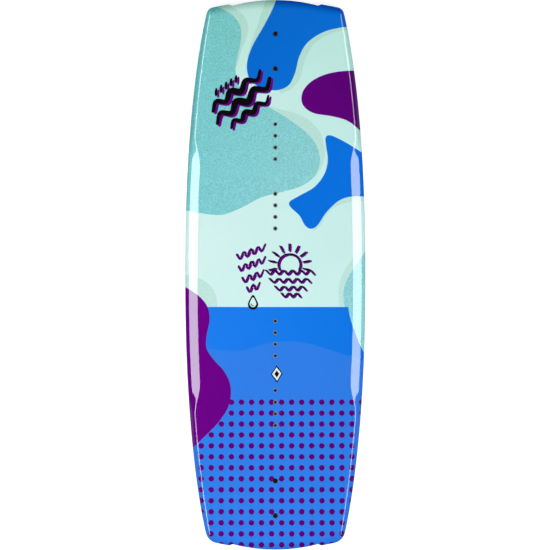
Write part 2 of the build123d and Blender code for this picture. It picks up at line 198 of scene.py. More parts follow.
def side_and_corner(spacing, side_x, tip_point, tip_slope, radius):
    """A quarter of an outline: up the side at side_x(y), then round the corner to the tip's line."""
    tip_direction = np.array([1, -tip_slope]) / math.hypot(1, tip_slope)
    tip_normal = np.array([tip_direction[1], -tip_direction[0]])
    low, high = half_length * 0.8, half_length
    for _ in range(60):
        y = (low + high) / 2
        slope = float(side_x(y + 0.5) - side_x(y - 0.5))
        side_normal = np.array([-1, slope]) / math.hypot(1, slope)
        centre = np.array([side_x(y), y]) + radius * side_normal
        if (centre - tip_point) @ tip_normal > radius:
            low = y
        else:
            high = y
    start = math.atan2(-side_normal[1], -side_normal[0])
    end = math.atan2(-tip_normal[1], -tip_normal[0])
    quarter = [(side_x(v), v) for v in np.linspace(0, y, int(y / spacing))]
    for angle in np.linspace(start, end, int(radius * (end - start) / spacing * 2) + 2)[1:]:
        quarter.append(tuple(centre + radius * np.array([math.cos(angle), math.sin(angle)])))
    return quarter


def mirrored(quarter_of):
    """Closed loop, anticlockwise from the right, from a quarter for each corner radius."""
    nose = np.array(quarter_of(nose_corner_radius), float)
    tail = np.array(quarter_of(tail_corner_radius), float)
    return np.vstack([nose, nose[-2::-1] * [-1, 1], -tail[1:], tail[-2:0:-1] * [1, -1]])


def board_quarter(spacing, radius):
    """A quarter of the outline, from the middle of the right side round to the middle of the tip."""
    step = (tip_arc_half_width + tip_step_width, half_length - tip_arc_drop + tip_step_rise)
    quarter = side_and_corner(spacing, outline_half_width, step, tip_outer_slope, radius)
    last = quarter[-1]
    for t in np.linspace(0, 1, int(abs(last[0] - step[0]) / spacing) + 2)[1:]:
        quarter.append((last[0] + (step[0] - last[0]) * t, last[1] + (step[1] - last[1]) * t))
    arch = (tip_arc_half_width**2 + tip_arc_drop**2) / (2 * tip_arc_drop)
    for t in np.linspace(1, 0, int(tip_arc_half_width / spacing) + 1):
        x = tip_arc_half_width * t
        quarter.append((x, half_length - arch + math.sqrt(arch**2 - x * x)))
    return quarter


def core_quarter(spacing, radius):
    """A quarter of the inner outline of the rail."""
    top = half_length - core_tip_drop - rail_width
    quarter = side_and_corner(
        spacing, lambda y: half_width(y) - rail_width, (0, top), 0, radius - rail_width
    )
    last = quarter[-1]
    return quarter + [(x, top) for x in np.linspace(last[0], 0, int(last[0] / spacing) + 1)[1:]]


outline_spacing = 4.0
outline = mirrored(lambda radius: board_quarter(outline_spacing, radius))
core_outline = mirrored(lambda radius: core_quarter(outline_spacing, radius))


def in_from_edge(x, y):
    """Distance in from the board's outline, near the edge, and a large number elsewhere."""
    points = np.column_stack([x, y])
    distance = np.full(len(points), 1e3)
    near = (half_width(y) - np.abs(x) < 1.5 * edge_round_reach) | (np.abs(y) > half_length - 40)
    chosen = np.flatnonzero(near)
    for block in np.array_split(chosen, max(1, len(chosen) // 4000)):
        p = points[block]
        nearest = ((p[:, None, :] - outline) ** 2).sum(2).argmin(1)
        best = np.full(len(block), 1e6)
        for shift in (-2, -1, 0, 1):
            a = outline[(nearest + shift) % len(outline)]
            ab = outline[(nearest + shift + 1) % len(outline)] - a
            t = np.clip(((p - a) * ab).sum(1) / (ab**2).sum(1), 0, 1)
            best = np.minimum(best, ((p - a - t[:, None] * ab) ** 2).sum(1))
        distance[block] = np.sqrt(best)
    return distance


sheets_at_edge = deck_sheet_thickness + base_sheet_thickness + 2 * laminate_thickness


def edge_rounding(x, y, share):
    """How far the rounding of the rail moves the surface, as a share of the rail's own height."""
    d = np.minimum(in_from_edge(x, y), edge_round_reach)
    height = deck_before_rounding(x, y) - base_before_rounding(x, y) - sheets_at_edge
    t = 1 - d / edge_round_reach
    return share * np.maximum(height, 0) * (1 - np.sqrt(np.maximum(1 - t * t, 0)))


def deck_surface(x, y):
    return deck_before_rounding(x, y) - edge_rounding(x, y, deck_edge_share)


def base_surface(x, y):
    return base_before_rounding(x, y) + edge_rounding(x, y, base_edge_share)


def offset_surface(surface, amount):
    """The same surface, amount higher."""
    return lambda x, y: surface(x, y) + amount


def normals_of(surface, x, y):
    """Upward unit normals of a surface, from its slopes, taken a little in from the edge."""
    step = 0.15
    x, y = x * (1 - 0.3 / middle_half_width), y * (1 - 0.3 / half_length)
    dx = (surface(x + step, y) - surface(x - step, y)) / (2 * step)
    dy = (surface(x, y + step) - surface(x, y - step)) / (2 * step)
    n = np.column_stack([-dx, -dy, np.ones_like(dx)])
    return n / np.linalg.norm(n, axis=1)[:, None]


# ---- curves of the drawing ----


def smooth_line(points, closed=False, per_span=12):
    """Points along a smooth curve through the given ones."""
    p = np.array(points, float)
    if closed:
        p = np.vstack([p[-1], p, p[0], p[1]])
    else:
        p = np.vstack([2 * p[0] - p[1], p, 2 * p[-1] - p[-2]])
    t = np.arange(per_span)[:, None] / per_span
    spans = []
    for a, b, c, d in zip(p, p[1:], p[2:], p[3:]):
        cubic = (3 * b - a - 3 * c + d) * t**3
        spans.append((2 * b + (c - a) * t + (2 * a - 5 * b + 4 * c - d) * t**2 + cubic) / 2)
    line = np.vstack(spans)
    return line if closed else np.vstack([line, p[-2]])


fine_step = 1.2  # spacing of a curve's points over the bevels
coarse_step = 3.5
outer_step = 30.0
edge_band = 36.0


def respaced(line):
    """The same line with its points close together over the bevels and further apart inside."""
    places = np.arange(len(line))
    finer = np.linspace(0, places[-1], 1 + 24 * places[-1]) if len(line) < 12 else places
    line = np.column_stack([np.interp(finer, places, line[:, k]) for k in (0, 1)])
    steps = np.hypot(*np.diff(line, axis=0).T)
    middle = (line[1:] + line[:-1]) / 2
    margin = np.minimum(half_width(middle[:, 1]) - abs(middle[:, 0]), half_length - abs(middle[:, 1]))
    wanted = np.select([margin < -2 * fine_step, margin < edge_band], [outer_step, fine_step], coarse_step)
    along = np.concatenate([[0], np.cumsum(steps / wanted)])
    places = np.linspace(0, along[-1], max(4, int(along[-1]) + 1))
    return np.column_stack([np.interp(places, along, line[:, k]) for k in (0, 1)])


def straight(*corners):
    """Points along straight runs between corners, close together over the bevels."""
    runs = [respaced(np.array(run, float)) for run in zip(corners, corners[1:])]
    return np.vstack([run[:-1] for run in runs] + [runs[-1][-1:]])


def region(curve, *corners, closed=False):
    """Closed loop: a smooth curve, then straight runs through the given corners and back."""
    line = smooth_line(curve, closed)
    if closed:
        return respaced(np.vstack([line, line[:1]]))[:-1]
    line = respaced(line)
    back = straight(tuple(line[-1]), *corners, tuple(line[0]))
    return np.vstack([line, back[1:-1]])


def circle(x, y, radius, count, flatten=1.0):
    """Closed loop round a circle, or an ellipse flattened along Y."""
    turn = np.arange(count) * 2 * math.pi / count
    return np.column_stack([x + radius * np.cos(turn), y + radius * flatten * np.sin(turn)])


def stroke(points, start, middle, end):
    """Closed loop round a brush stroke, from its widths at the start, the middle and the end."""
    line = respaced(smooth_line(points, per_span=8))
    ahead = np.gradient(line, axis=0)
    side = np.column_stack([-ahead[:, 1], ahead[:, 0]]) / np.hypot(*ahead.T)[:, None]
    t = np.linspace(0, 1, len(line))
    half = np.interp(t, [0, 0.5, 1], [start / 2, middle / 2, end / 2])[:, None]
    cap = np.linspace(0, math.pi, 7)[1:-1, None]
    heading = ahead / np.hypot(*ahead.T)[:, None]
    far_cap = line[-1] + half[-1] * (side[-1] * np.cos(cap) + heading[-1] * np.sin(cap))
    near_cap = line[0] - half[0] * (side[0] * np.cos(cap) + heading[0] * np.sin(cap))
    return np.vstack([line + side * half, far_cap, (line - side * half)[::-1], near_cap])


def shifted(loop, x, y):
    return loop + np.array([x, y])


def turned(points, degrees, x, y):
    """Points of a motif, turned about its own origin and put in its place on the board."""
    c, s = math.cos(math.radians(degrees)), math.sin(math.radians(degrees))
    return [(x + c * u - s * v, y + s * u + c * v) for u, v in points]


def inside(loop, points):
    """Which of the points lie inside a closed loop."""
    x, y = points.T
    within = np.zeros(len(points), bool)
    low, high = loop.min(0), loop.max(0)
    chosen = np.flatnonzero((x > low[0]) & (x < high[0]) & (y > low[1]) & (y < high[1]))
    x, y = x[chosen], y[chosen]
    crossed = np.zeros(len(chosen), bool)
    for (x0, y0), (x1, y1) in zip(loop, np.roll(loop, -1, axis=0)):
        if y0 != y1:
            crossed ^= ((y0 > y) != (y1 > y)) & (x < (x1 - x0) * (y - y0) / (y1 - y0) + x0)
    within[chosen] = crossed
    return within


# ---- printed drawing of the deck: (ink, loop), later ones over earlier ones ----

far = 240.0  # past the board's edge
past_tip = 640.0
print_split = -70.5  # where the pale upper field meets the blue lower one

deck_drawing = []


def draw(ink_name, loop):
    deck_drawing.append((ink_name, loop))


draw("shade", region(
    [(-130, 596), (-120, 590), (-97, 585), (-77, 574), (-63, 556), (-59, 537), (-63, 517), (-72, 495),
     (-83, 460)], (-100, 450), (-140, 560)))
draw("shade", region(
    [(-20, 372), (5, 364), (38, 356), (72, 340), (95, 317), (107, 287), (108, 256), (97, 228),
     (85, 212)], (60, 210), (0, 300)))
draw("shade", region(
    [(-16, 612), (-30, 574), (-38, 546), (-51, 512), (-61, 478)], (-40, 460), (0, 560), (20, 620)))
draw("shade", region(
    [(205, 539), (150, 534), (115, 524), (88, 508), (72, 485), (62, 460), (55, 432), (38, 409),
     (12, 397)], (0, 420), (60, 560), (205, 560)))
draw("shade", region(
    [(84, 97), (98, 106), (109, 126), (124, 144), (145, 155), (170, 161), (212, 163)],
    (212, 185), (100, 170), (70, 120)))
draw("shade", region(
    [(-215, 3), (-185, -2), (-160, -11), (-140, -27), (-129, -50), (-127, -75)],
    (-160, -90), (-215, -60)))
draw("shade", region(
    [(185, 58), (160, 22), (145, -5), (139, -34), (141, -75)], (165, -80), (200, 20)))
draw("teal", region(
    [(-150, 592), (-118, 581), (-92, 565), (-77, 543), (-75, 515), (-82, 478), (-87, 445), (-78, 412),
     (-42, 381), (0, 359), (45, 330), (82, 297), (98, 256), (88, 219), (58, 195), (15, 182), (-30, 170),
     (-75, 147), (-115, 132), (-155, 134), (-205, 143)], (-far, 143), (-far, 592)))
draw("teal", region(
    [(212, 75), (190, 40), (163, 0), (151, -28), (151, -62), (165, -105), (200, -180)],
    (far, -180), (far, 75)))
draw("blue_nose", region(
    [(6, 612), (-7, 578), (-27, 540), (-50, 500), (-62, 462), (-57, 430), (-34, 411), (0, 404), (28, 414),
     (43, 441), (52, 476), (70, 507), (105, 530), (150, 541), (205, 545)],
    (far, 545), (far, past_tip), (8, past_tip)))
draw("blue_tail", region(
    [(160, print_split), (165, -97), (176, -129), (187, -155), (206, -192)],
    (far, -192), (far, -past_tip), (-far, -past_tip), (-far, print_split)))
draw("blue_pale", region(
    [(-143, -163), (-99, -166), (-64, -164), (-25, -152), (11, -147), (54, -147), (98, -158), (206, -192)],
    (far, -192), (far, -past_tip), (-far, -past_tip), (-far, -160)))
draw("blue_nose", region(
    [(208, 256), (172, 280), (142, 297), (120, 306), (110, 300), (112, 278), (115, 252), (108, 222),
     (86, 193), (50, 172), (31, 160), (34, 148), (53, 130), (65, 109), (78, 101), (93, 109), (112, 137),
     (140, 163), (170, 172), (212, 171)], (far, 171), (far, 256)))
draw("purple", region(
    [(205, 447), (150, 446), (108, 438), (76, 421), (59, 398), (60, 373), (82, 355), (120, 348),
     (155, 339), (182, 320), (205, 298)], (far, 300), (far, 449)))

dot_radius = 6.3
dot_start = (-8.2, -279.4)
dot_step = (22.0, -23.82)
for row in range(14):
    for column in range(-9, 10):
        x = dot_start[0] + dot_step[0] * column
        y = dot_start[1] + dot_step[1] * row
        draw("plum", circle(x, y, dot_radius, 20))
draw("purple", region(
    [(-215, -18), (-190, -31), (-165, -49), (-149, -70), (-144, -98), (-150, -130), (-151, -160),
     (-136, -185), (-112, -212), (-98, -245), (-101, -284), (-121, -319), (-153, -353), (-182, -380),
     (-215, -408)], (-far, -408), (-far, -18)))

# rising water: three brushed waves and a row of dashes, black with a purple shadow
wave_line = [(-84, -10), (-62, 9), (-38, -7), (-12, 11), (14, -6), (42, 13), (70, -4), (92, 14)]
wave_rows = [(0.76, 25, 8, 14.5, 6), (0.85, -2, 7, 16.5, 8.5), (0.6, -29, 6, 13, 5)]
wave_place = (33.0, -73.0, 379.0)
brushed = []
for size, rise, start, middle, end in wave_rows:
    line = turned([(u * size, v * size + rise) for u, v in wave_line], *wave_place)
    brushed.append((line, start, middle, end))
for dash in range(5):
    u = -40 + 13 * dash
    line = turned([(u, 43), (u + 3.5, 48.5), (u + 8, 54)], *wave_place)
    brushed.append((line, 4.5, 7, 4.5))
for line, *widths in brushed:
    draw("purple", shifted(stroke(line, *widths), 5.0, -3.5))
for line, *widths in brushed:
    draw("black", stroke(line, *widths))

# a sun over the sea, in black line with a purple shadow
sun = (30.0, 22.0)
sun_radius = 24.0
line_width = 2.8


def arc_points(radius, start, end, count=13):
    """Points round the sun's centre, from one angle to another."""
    turns = np.radians(np.linspace(start, end, count))
    return [(sun[0] + radius * math.cos(a), sun[1] + radius * math.sin(a)) for a in turns]


sun_lines = [arc_points(sun_radius, -28, 208)]
for angle in range(-14, 200, 26):
    sun_lines.append([arc_points(radius, angle, angle, 1)[0] for radius in (31, 38, 46)])
for rise, left, right in ((6, -22, 84), (-12, -14, 76), (-29, -2, 66), (-44, 12, 54)):
    crests = np.linspace(left, right, 4 + 2 * ((right - left) // 24))
    sun_lines.append([(u, rise + 4.4 * (-1) ** k) for k, u in enumerate(crests)])
for line in sun_lines:
    draw("purple", shifted(stroke(line, 4.6, 6.4, 4.6), 3.4, -1.6))
for line in sun_lines:
    draw("black", stroke(line, line_width, line_width, line_width))

# ripples beside it
ripple_rows = [((-84, 38), 4, 15.5), ((-80, 12), 4, 14.5), ((-72, -13), 3, 15.5), ((-62, -34), 2, 14.0)]
for (u, v), waves, pitch in ripple_rows:
    line = []
    for k in range(2 * waves + 1):
        line.append((u + pitch / 2 * k, v + 0.18 * pitch * k + 6.2 * (-1) ** k))
    draw("purple", stroke(line, 6.0, 8.4, 5.0))
    draw("black", shifted(stroke(line, 1.4, 2.2, 1.2), -1.6, 1.2))

# a drop across the edge of the blue field, and a small lozenge between the insert rows
drop_line = [(0, 17), (8, 5), (11.5, -5), (7, -13.5), (0, -16), (-7, -13.5), (-11.5, -5), (-8, 5)]
drop_place = (-49.0, -60.5)
draw("black", region([(u + drop_place[0], v + drop_place[1]) for u, v in drop_line], closed=True))
drop_inside = [(u * 0.66 + drop_place[0], v * 0.66 + drop_place[1]) for u, v in drop_line]
draw("mint", region(drop_inside, closed=True))
draw("black", stroke([(drop_place[0] - 4, drop_place[1] - 3), (drop_place[0] - 2.4, drop_place[1] - 6.6),
                      (drop_place[0] + 1.6, drop_place[1] - 7.6)], 1.4, 2.4, 1.4))
lozenge = np.array([(0.0, 19.0), (13.0, 1.0), (1.0, -19.0), (-13.0, -1.0)])
lozenge_place = (3.0, -217.5)
for ink_name, size in (("black", 1.0), ("pale", 0.78), ("black", 0.4)):
    draw(ink_name, lozenge * size + np.array(lozenge_place))


# ---- meshes of the printed sheets ----


def inward_normals(points):
    ahead = np.roll(points, -1, axis=0) - np.roll(points, 1, axis=0)
    return np.column_stack([-ahead[:, 1], ahead[:, 0]]) / np.hypot(*ahead.T)[:, None]


def crease_reach(points, inward):
    """How far in from each point of the outline the crease of the deck bevels lies."""
    near, beyond = np.zeros(len(points)), np.full(len(points), 45.0)
    for _ in range(30):
        reach = (near + beyond) / 2
        x, y = (points + inward * reach[:, None]).T
        side = 1 - (half_width(y) - np.abs(x)) / bevel_width(y)
        tip = 1 - in_from_tip(x, y) / tip_bevel_width
        on_bevel = np.maximum(side, tip) > 0
        near = np.where(on_bevel, reach, near)
        beyond = np.where(on_bevel, beyond, reach)
    return near


outline_inward = inward_normals(outline)
crease = crease_reach(outline, outline_inward)
rounding_rings = [0.25, 0.7, 1.4, 2.3, 3.6, 5.2, 7.0, 9.0]
crease_rings = [-4.0, -2.4, -1.3, -0.6, 0.0, 0.6, 1.3, 2.4, 4.0, 7.0]
base_rings = [6.5, 7.6, 8.0, 8.4, 10.0, 16.0]


def rings(*distances):
    """Points inside the outline, at the given distances in from it."""
    return np.vstack([outline + outline_inward * np.reshape(d, (-1, 1)) for d in distances])


to_crease = np.maximum(crease - (edge_round_reach - crease_rings[0]), 0)
deck_rings = rings(
    *rounding_rings,
    *[edge_round_reach + to_crease * share for share in (0.33, 0.67)],
    *[np.maximum(crease + offset * crease_spread(outline[:, 1]), 0.3) for offset in crease_rings],
)
under_deck_rings = rings(
    0.7, 2.3, 3.6, 5.2, 7.0, 9.0, *[np.maximum(crease + offset, 0.3) for offset in (-2, 0, 2, 7)]
)
base_edge_rings = rings(0.25, 0.7, 1.4, 2.3, 3.6, 5.2, 7.0, *base_rings)


def field(spacing):
    """Points in staggered rows over the board."""
    rows = []
    for k, y in enumerate(np.arange(-half_length, half_length, spacing * 0.87)):
        x = np.arange(-middle_half_width + (k % 2) * spacing / 2, middle_half_width, spacing)
        rows.append(np.column_stack([x, np.full(len(x), y)]))
    return np.vstack(rows)


def clear_of(points, others, gap):
    """The points that lie further than gap from every other point."""
    tree = KDTree(len(others))
    for k, (x, y) in enumerate(others):
        tree.insert((x, y, 0), k)
    tree.balance()
    return points[[tree.find((x, y, 0))[2] > gap for x, y in points]]


def channel_rows():
    """Points along the borders of the two channels in the base."""
    rows = []
    for x in (tip_arc_half_width, tip_arc_half_width + tip_step_width):
        y = np.arange(channel_start, half_length, 5.0)
        rows += [np.column_stack([np.full(len(y), x + d), y]) for d in (-0.8, 0, 0.8)]
    for y in (channel_start, channel_full):
        x = np.arange(0, tip_arc_half_width + tip_step_width, 5.0)
        rows += [np.column_stack([x, np.full(len(x), y + d)]) for d in (-0.8, 0, 0.8)]
    quarter = np.vstack(rows)
    return np.vstack([quarter * signs for signs in ((1, 1), (-1, 1), (1, -1), (-1, -1))])


base_scatter = np.vstack([base_edge_rings, channel_rows()])


def round_pairs(count, start=0):
    """Neighbouring points round a closed loop, as pairs of numbers from start on."""
    return [(start + k, start + (k + 1) % count) for k in range(count)]


def loop_sides(loops):
    """Sides of closed loops, each loop's points numbered on from the one before."""
    sides = []
    start = 0
    for loop in loops:
        sides += round_pairs(len(loop), start)
        start += len(loop)
    return sides


def row_walls(count, around):
    """Faces between rows of points, each row numbered on from the one before."""
    faces = []
    for k in range(count - 1):
        row, next_row = round_pairs(around, k * around), round_pairs(around, (k + 1) * around)
        faces += [(i, j, n, m) for (i, j), (m, n) in zip(row, next_row)]
    return faces


def triangulated(loops, scattered, spacing):
    """Corners and triangles over the outline, with every loop's line among the triangles' sides."""
    lines = [outline] + loops
    fixed = np.vstack(lines)
    kept = clear_of(scattered, np.vstack(loops), 0.6) if loops else scattered
    kept = kept[inside(outline, kept)]
    kept = kept[np.unique(np.round(kept / 0.3).astype(int), axis=0, return_index=True)[1]]
    inner = clear_of(field(spacing), np.vstack([fixed, kept]), 0.45 * spacing)
    points = np.vstack([fixed, kept, inner[inside(outline, inner)]])
    found = delaunay_2d_cdt([Vector(p) for p in points], loop_sides(lines), [], 0, 1e-4, False)
    corners = np.array([tuple(v) for v in found[0]])
    triangles = np.array(found[2])
    ab = corners[triangles[:, 1]] - corners[triangles[:, 0]]
    ac = corners[triangles[:, 2]] - corners[triangles[:, 0]]
    area = ab[:, 0] * ac[:, 1] - ab[:, 1] * ac[:, 0]
    triangles[area < 0] = triangles[area < 0][:, ::-1]
    middles = corners[triangles].mean(axis=1)
    keep = inside(outline, middles) & (np.abs(area) > 1e-6)
    return corners, triangles[keep], middles[keep]


def border_normals(corners, sides):
    """Level outward normals of the sides, at each side's start and end, smoothed round gentle bends."""
    run = corners[sides[:, 1]] - corners[sides[:, 0]]
    flat = np.column_stack([run[:, 1], -run[:, 0]]) / np.hypot(*run.T)[:, None]
    into = {}
    out_of = {}
    for k, (a, b) in enumerate(sides.tolist()):
        out_of[a] = -1 if a in out_of else k
        into[b] = -1 if b in into else k
    result = []
    for place, neighbours in ((0, into), (1, out_of)):
        other = np.array([neighbours.get(v, -1) for v in sides[:, place].tolist()])
        other = np.where(other < 0, np.arange(len(sides)), other)
        both = flat + flat[other]
        bend = (flat * flat[other]).sum(1)
        smooth = both / np.maximum(np.hypot(*both.T), 1e-9)[:, None]
        result.append(np.where(bend[:, None] > 0.75, smooth, flat))
    return result


def new_object(name, data):
    """New object in the scene, from its mesh, camera or lamp data."""
    thing = bpy.data.objects.new(name, data)
    bpy.context.scene.collection.objects.link(thing)
    return thing


def mesh_object(name, vertices, faces, normals, material):
    """New object from vertices in millimetres, with a normal for every corner of every face."""
    mesh = bpy.data.meshes.new(name)
    mesh.from_pydata((np.asarray(vertices) * MM).tolist(), [], faces)
    mesh.polygons.foreach_set("use_smooth", np.ones(len(faces), bool))
    mesh.normals_split_custom_set(np.asarray(normals).tolist())
    mesh.materials.append(material)
    return new_object(name, mesh)


def slab_object(name, corners, triangles, top, bottom, material):
    """Closed solid over the triangles, between two (heights, normals) pairs."""
    used, index = np.unique(triangles, return_inverse=True)
    triangles = index.reshape(-1, 3)
    corners = corners[used]
    count = len(used)
    sides = np.vstack([triangles[:, [0, 1]], triangles[:, [1, 2]], triangles[:, [2, 0]]])
    known = set(map(tuple, sides.tolist()))
    border = np.array([s for s in sides.tolist() if (s[1], s[0]) not in known])
    a, b = border.T
    walls = np.column_stack([a, a + count, b + count, b])
    vertices = np.vstack(
        [np.column_stack([corners, top[0][used]]), np.column_stack([corners, bottom[0][used]])]
    )
    faces = triangles.tolist() + (triangles[:, ::-1] + count).tolist() + walls.tolist()
    at_start, at_end = border_normals(corners, border)
    level = np.zeros((len(border), 1))
    start3, end3 = np.hstack([at_start, level]), np.hstack([at_end, level])
    wall_normals = np.stack([start3, start3, end3, end3], axis=1).reshape(-1, 3)
    top_normals = top[1][used][triangles.ravel()]
    bottom_normals = -bottom[1][used][triangles[:, ::-1].ravel()]
    normals = np.vstack([top_normals, bottom_normals, wall_normals])
    return mesh_object(name, vertices, faces, normals, material)


# ---- materials ----

nose_shade_tint = [0.83, 0.92, 0.86, 1]  # painted shade: how much the deck's colours darken towards the nose
nose_shade_reach = (0.22, 0.6)  # metres from the board's middle between which they do
edge_shade_depth = 0.45  # how deep the colour is where the painted shade is fullest
edge_shade_grey = 0.44
tail_edge_shade, nose_edge_shade = 0.45, 0.9  # how strong the painted shade of edges and tips is at each end
shaded_steepness = (0.7, 0.89)  # upward part of the normal where the painted shade is full, and where there is none
tip_shade_reach = (0.582, 0.6)  # metres from the board's middle between which the painted shade along a tip deepens


def linear(red, green, blue):
    """Linear RGBA from sRGB values of 0 to 255."""
    shares = [c / 255 for c in (red, green, blue)]
    return [c / 12.92 if c <= 0.04045 else ((c + 0.055) / 1.055) ** 2.4 for c in shares] + [1.0]


def grey(level):
    """Linear RGBA of a grey."""
    return [level] * 3 + [1]


def set_inputs(node, values):
    """Sets a node's sockets, named in lower case: coat_weight is Coat Weight."""
    for name, value in values.items():
        node.inputs[name.replace("_", " ").title().replace("Ior", "IOR")].default_value = value


class Recipe:
    """A procedural material: a Principled shader and the texture nodes that feed it."""

    def __init__(self, name, **values):
        self.material = bpy.data.materials.new(name)
        self.material.use_nodes = True
        self.tree = self.material.node_tree
        self.shader = self.tree.nodes["Principled BSDF"]
        set_inputs(self.shader, values)
        self.place = self.add("ShaderNodeTexCoord").outputs["Object"]

    def add(self, kind, **inputs):
        node = self.tree.nodes.new(kind)
        set_inputs(node, inputs)
        return node

    def link(self, source, target):
        self.tree.links.new(source, target)

    def noise(self, scale, detail=2.0, stretch=None):
        """Noise of about 1 / scale metres, stretched along an axis if asked."""
        texture = self.add("ShaderNodeTexNoise", scale=scale, detail=detail)
        place = self.place
        if stretch:
            mapping = self.add("ShaderNodeMapping", scale=stretch)
            self.link(place, mapping.inputs["Vector"])
            place = mapping.outputs["Vector"]
        self.link(place, texture.inputs["Vector"])
        return texture.outputs["Fac"]

    def spread(self, value, low, high, start=0.3, end=0.7):
        """The value, from start to end, taken to the range from low to high."""
        node = self.add("ShaderNodeMapRange", from_min=start, from_max=end, to_min=low, to_max=high)
        self.link(value, node.inputs["Value"])
        return node.outputs["Result"]

    def mix(self, share, first, second, blend="MIX"):
        node = self.tree.nodes.new("ShaderNodeMix")
        node.data_type = "RGBA"
        node.blend_type = blend
        for socket, value in ((0, share), (6, first), (7, second)):
            if isinstance(value, bpy.types.NodeSocket):
                self.link(value, node.inputs[socket])
            else:
                node.inputs[socket].default_value = value
        return node.outputs[2]

    def times(self, first, second):
        """Product of two colours."""
        return self.mix(1.0, first, second, "MULTIPLY")

    def combined(self, operation, first, second):
        """One number from two, such as the larger or the product."""
        node = self.tree.nodes.new("ShaderNodeMath")
        node.operation = operation
        self.link(first, node.inputs[0])
        self.link(second, node.inputs[1])
        return node.outputs["Value"]

    def colour(self, value):
        self.link(value, self.shader.inputs["Base Color"])

    def tint(self, value, low, high, start=0.3, end=0.7):
        """Colours the material from low to high as the value goes from start to end."""
        share = self.spread(value, 0, 1, start, end)
        self.colour(self.mix(share, linear(*low), linear(*high)))

    def roughness(self, value):
        self.link(value, self.shader.inputs["Roughness"])

    def bump(self, value, depth, socket="Normal"):
        node = self.add("ShaderNodeBump", strength=1.0, distance=depth)
        self.link(value, node.inputs["Height"])
        self.link(node.outputs["Normal"], self.shader.inputs[socket])


def edge_share(recipe, place):
    """Share of painted shade: the ink is darkened on steep edges and along the tips, more so at the nose.
    """
    facing = recipe.add("ShaderNodeSeparateXYZ")
    recipe.link(recipe.add("ShaderNodeNewGeometry").outputs["Normal"], facing.inputs["Vector"])
    steep = recipe.spread(facing.outputs["Z"], 1, 0, *shaded_steepness)
    level = recipe.add("ShaderNodeMapping", scale=(1.0, 1.0, 0.0))
    recipe.link(recipe.place, level.inputs["Vector"])
    from_middle = recipe.tree.nodes.new("ShaderNodeVectorMath")
    from_middle.operation = "LENGTH"
    recipe.link(level.outputs["Vector"], from_middle.inputs[0])
    at_tip = recipe.spread(from_middle.outputs["Value"], 0, 1, *tip_shade_reach)
    edge = recipe.combined("MAXIMUM", steep, at_tip)
    by_end = recipe.spread(place.outputs["Y"], tail_edge_shade, nose_edge_shade, -0.35, 0.35)
    return recipe.combined("MULTIPLY", edge, by_end)


def ink(name, left, right, grain=0.015, grain_scale=700.0):
    """Print under a clear gloss coat: its colour shifts across the board, with a fine grain; painted shade
    darkens it towards the nose and on steep edges and tips.
    """
    recipe = Recipe("print_" + name, specular_ior_level=0.0, coat_weight=1.0, coat_roughness=0.03)
    parts = recipe.add("ShaderNodeSeparateXYZ")
    recipe.link(recipe.place, parts.inputs["Vector"])
    across = recipe.spread(parts.outputs["X"], 0, 1, -middle_half_width * MM, middle_half_width * MM)
    flat = recipe.mix(across, linear(*left), linear(*right))
    speck = recipe.spread(recipe.noise(grain_scale, 3.0), 0, 1, 0.35, 0.65)
    speckled = recipe.times(flat, recipe.mix(speck, grey(1 - grain), grey(1 + grain)))
    cloud = recipe.spread(recipe.noise(6.0), 0, 1)
    # painted shade: the colours darken towards the nose
    toward_nose = recipe.spread(parts.outputs["Y"], 0, 1, *nose_shade_reach)
    nose_shaded = recipe.times(speckled, recipe.mix(toward_nose, grey(1), nose_shade_tint))
    clouded = recipe.times(nose_shaded, recipe.mix(cloud, grey(0.985), grey(1.01)))
    # painted shade on steep edges and along the tips
    edge_shaded = recipe.times(clouded, recipe.mix(edge_shade_depth, clouded, grey(edge_shade_grey)))
    recipe.colour(recipe.mix(edge_share(recipe, parts), clouded, edge_shaded))
    recipe.roughness(recipe.spread(recipe.noise(1500.0), 0.42, 0.55))
    recipe.bump(recipe.noise(900.0), 0.00001)
    recipe.bump(recipe.noise(45.0, 1.0), 0.00004, "Coat Normal")
    return recipe.material


inks = {
    "mint": ink("mint", (216, 248, 244), (203, 243, 239)),
    "shade": ink("shade", (196, 235, 226), (192, 232, 224), 0.06, 420.0),
    "teal": ink("teal", (128, 210, 215), (147, 213, 217), 0.15, 330.0),
    "blue_nose": ink("blue_nose", (4, 108, 217), (6, 116, 230)),
    "blue_tail": ink("blue_tail", (30, 128, 243), (12, 118, 229)),
    "blue_pale": ink("blue_pale", (50, 130, 238), (46, 124, 230)),
    "purple": ink("purple", (112, 0, 140), (95, 0, 120)),
    "plum": ink("plum", (100, 0, 128), (92, 0, 116)),
    "black": ink("black", (14, 10, 18), (14, 10, 18), 0.1),
    "pale": ink("pale", (226, 236, 235), (226, 236, 235)),
}


def laminate_material():
    """Resin over woven glass, seen as thin lines along the rail."""
    recipe = Recipe("glass_laminate", roughness=0.4)
    weave = recipe.noise(900.0, 2.0, (1.0, 4.0, 1.0))
    recipe.tint(weave, (206, 212, 200), (232, 235, 226))
    recipe.roughness(recipe.spread(weave, 0.3, 0.5))
    recipe.bump(weave, 0.00004)
    return recipe.material


def rail_material():
    """Dyed cast resin with faint streaks along it."""
    recipe = Recipe("rail_resin", coat_weight=0.6, coat_roughness=0.08)
    streak = recipe.noise(160.0, 3.0, (1.0, 0.12, 1.0))
    recipe.tint(streak, (24, 34, 92), (34, 48, 118))
    recipe.roughness(recipe.spread(recipe.noise(900.0), 0.22, 0.36))
    recipe.bump(recipe.noise(700.0), 0.00002)
    return recipe.material


def foam_material():
    """Closed-cell polyurethane foam."""
    recipe = Recipe("core_foam", specular_ior_level=0.2)
    cells = recipe.add("ShaderNodeTexVoronoi", scale=900.0)
    recipe.link(recipe.place, cells.inputs["Vector"])
    cell = cells.outputs["Distance"]
    recipe.tint(cell, (250, 240, 205), (228, 210, 165), 0.0, 0.6)
    recipe.roughness(recipe.spread(cell, 0.8, 0.95, 0.0, 0.6))
    recipe.bump(cell, 0.0003)
    return recipe.material


